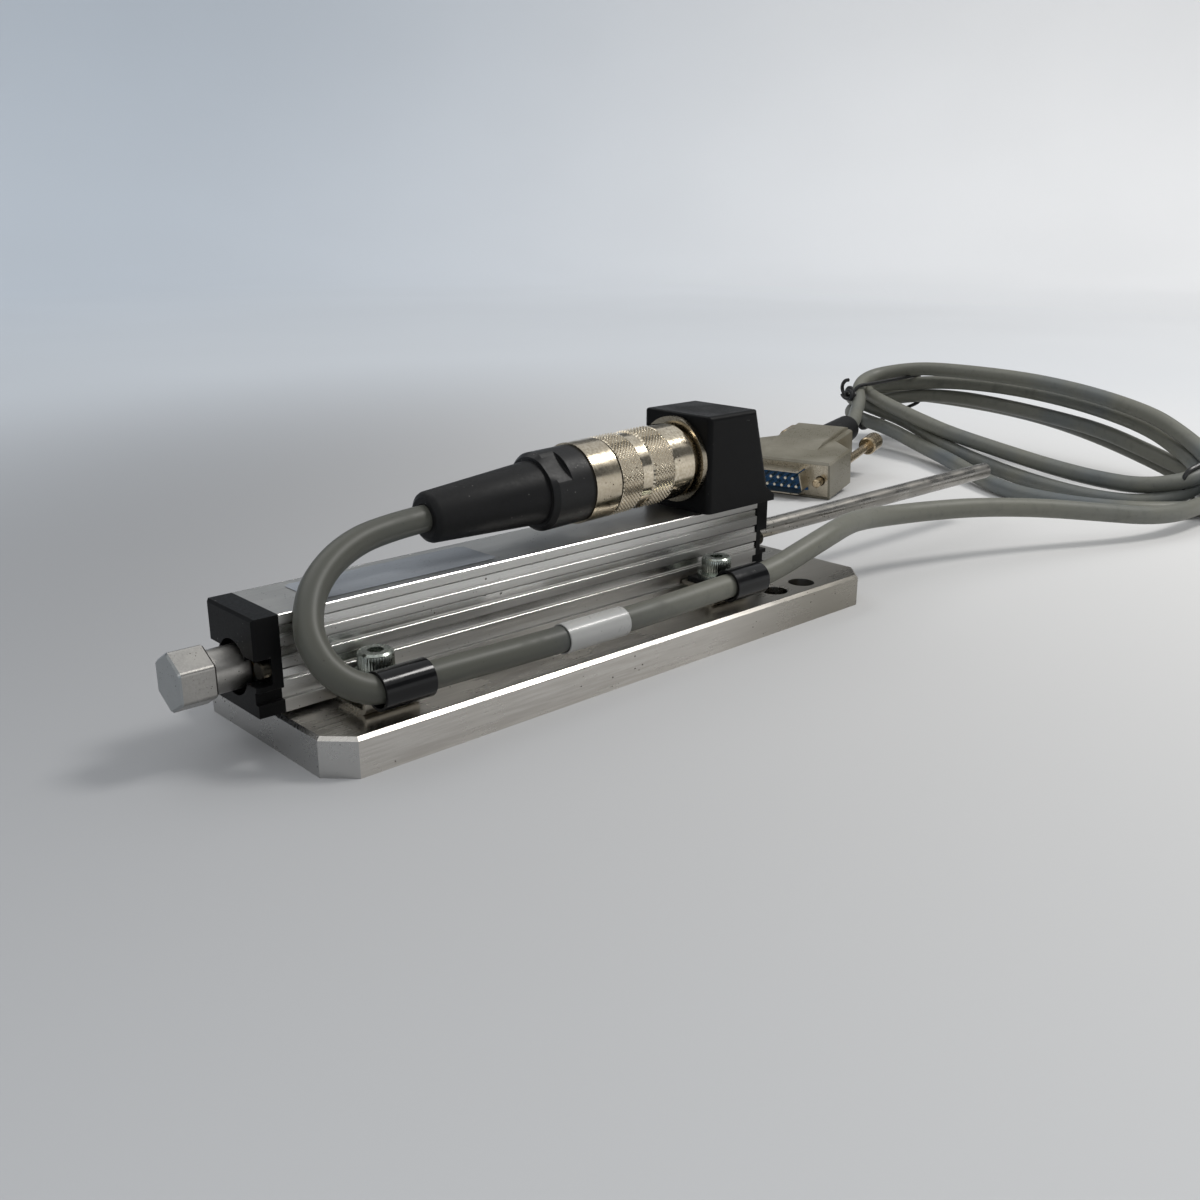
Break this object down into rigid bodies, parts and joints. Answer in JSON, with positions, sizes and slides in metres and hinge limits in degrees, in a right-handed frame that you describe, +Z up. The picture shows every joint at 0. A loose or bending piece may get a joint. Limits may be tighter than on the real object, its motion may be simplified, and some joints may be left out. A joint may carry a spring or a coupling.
{
  "type": "linear position sensor",
  "caption": "Slim linear potentiometer with a sliding rod in a grooved aluminium profile, clamped on a steel plate, with round connector, coiled grey cable and D-sub plug.",
  "frame": {"origin": "centre of the mounting plate's underside", "axes": "+X along the rod from its hexagonal tip to its bare end, +Z up from the plate, the cable clips on the -Y side"},
  "size_m": [0.392, 0.1773, 0.0515],
  "materials": {
    "plate_steel": "ground, clear scratches",
    "clamp_steel": "bent sheet, zinc-plated",
    "screw_steel": "zinc-plated",
    "clip_plastic": "black, slight sheen",
    "profile_aluminium": "natural anodised, drawn lines",
    "cap_plastic": "black moulded",
    "rod_steel": "polished",
    "tip_aluminium": "turned, satin",
    "bush_bronze": "plain bearing",
    "carriage_plastic": "natural",
    "contact_metal": "precious-metal spring",
    "element_plastic": "conductive plastic track",
    "connector_nickel": "nickel-plated",
    "insert_plastic": "moulded",
    "pin_gold": "gold-plated",
    "nut_plastic": "black moulded",
    "boot_rubber": "black",
    "cable_jacket": "grey, smooth",
    "marker_white": "blank white",
    "hood_plastic": "metallised",
    "shell_steel": "tin-plated",
    "insulator_blue": "blue"
  },
  "bodies": {
    "sensor": {"base_plate": "plate_steel", "clamp_front_near": "clamp_steel", "clamp_front_far": "clamp_steel", "clamp_rear_near": "clamp_steel", "clamp_rear_far": "clamp_steel", "clamp_screws": "screw_steel", "clamp_washers": "screw_steel", "p_clip_front": "clip_plastic", "p_clip_rear": "clip_plastic", "profile": "profile_aluminium", "front_cap": "cap_plastic", "rear_housing": "cap_plastic", "front_cap_screws": "screw_steel", "rear_cap_screws": "screw_steel", "front_bush": "bush_bronze", "rear_bush": "bush_bronze", "resistance_element": "element_plastic", "receptacle": "connector_nickel", "receptacle_insert": "insert_plastic", "receptacle_pins": "pin_gold", "plug_sleeve": "connector_nickel", "plug_insert": "insert_plastic", "back_nut": "nut_plastic", "bend_boot": "boot_rubber", "cable_lead": "cable_jacket", "cable_coil": "cable_jacket", "cable_tail": "cable_jacket", "cable_marker": "marker_white", "dsub_hood_lower": "hood_plastic", "dsub_hood_upper": "hood_plastic", "dsub_shell": "shell_steel", "dsub_insulator": "insulator_blue", "dsub_pins": "pin_gold", "dsub_boot": "boot_rubber"},
    "rod": {"actuator_rod": "rod_steel", "hex_tip": "tip_aluminium", "wiper_carriage": "carriage_plastic", "wiper_contacts": "contact_metal"},
    "coupling_ring": {"coupling_ring": "connector_nickel"},
    "thumbscrew_near": {"dsub_thumbscrew_near": "screw_steel"},
    "thumbscrew_far": {"dsub_thumbscrew_far": "screw_steel"}
  },
  "joints": [
    {"name": "rod_slide", "type": "slide", "parent": "sensor", "child": "rod", "axis": [-1, 0, 0], "range_m": [0, 0.075]},
    {"name": "ring_turn", "type": "hinge", "parent": "sensor", "child": "coupling_ring", "pos_m": [0.0332, 0, 0.0403], "axis": [0.9994, 0, 0.0349], "continuous": true},
    {"name": "thumbscrew_near_turn", "type": "hinge", "parent": "sensor", "child": "thumbscrew_near", "pos_m": [0.16525, 0.05484, 0.00676], "axis": [0.9592, 0.2606, 0.1097], "continuous": true},
    {"name": "thumbscrew_far_turn", "type": "hinge", "parent": "sensor", "child": "thumbscrew_far", "pos_m": [0.15651, 0.08697, 0.00676], "axis": [0.9592, 0.2606, 0.1097], "continuous": true}
  ]
}
